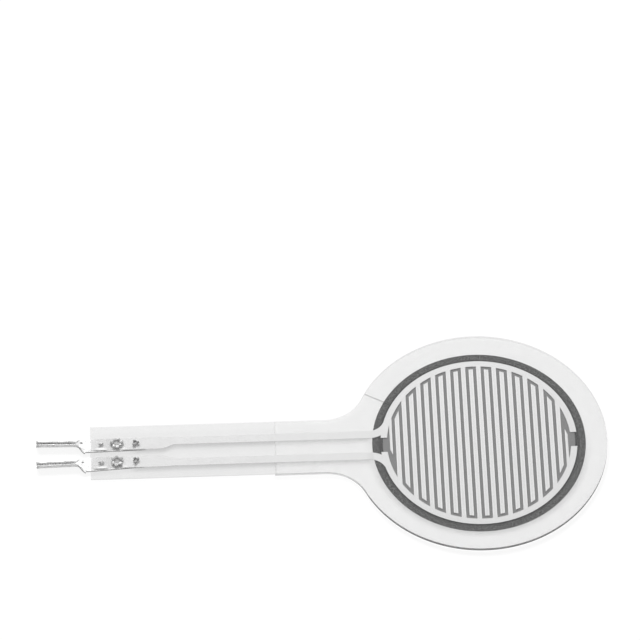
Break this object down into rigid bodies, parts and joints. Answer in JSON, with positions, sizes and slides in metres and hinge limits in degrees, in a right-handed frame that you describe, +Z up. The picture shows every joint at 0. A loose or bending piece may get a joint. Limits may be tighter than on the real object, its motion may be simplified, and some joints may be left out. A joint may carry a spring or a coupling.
{
  "type": "thin film pressure sensor",
  "caption": "Clear film force sensor with a round head, interlaced silver combs over a carbon disc, and a flat tail that ends in crimped terminal pins.",
  "frame": {"origin": "centre of the round head on the underside of the lower film, the face that lies on the surface below", "axes": "+X from the terminals along the tail to the head, +Y across the tail to the far side in the picture, +Z up out of the films, on the side of the upper film and the curled leaves"},
  "size_m": [0.0667, 0.03, 0.0006],
  "materials": {
    "clear_film": "clear polyester film, glossy",
    "clear_adhesive": "clear pressure sensitive adhesive",
    "silver_print": "screen printed silver, satin",
    "carbon_ink": "screen printed carbon, matte with fine speckle",
    "tinned_metal": "tin plated sheet metal, satin"
  },
  "bodies": {
    "root": {"upper_film": "clear_film", "upper_electrode": "silver_print", "lower_electrode": "silver_print", "adhesive": "clear_adhesive", "carbon_print": "carbon_ink", "lower_film": "clear_film", "upper_terminal": "tinned_metal", "lower_terminal": "tinned_metal"}
  },
  "joints": []
}
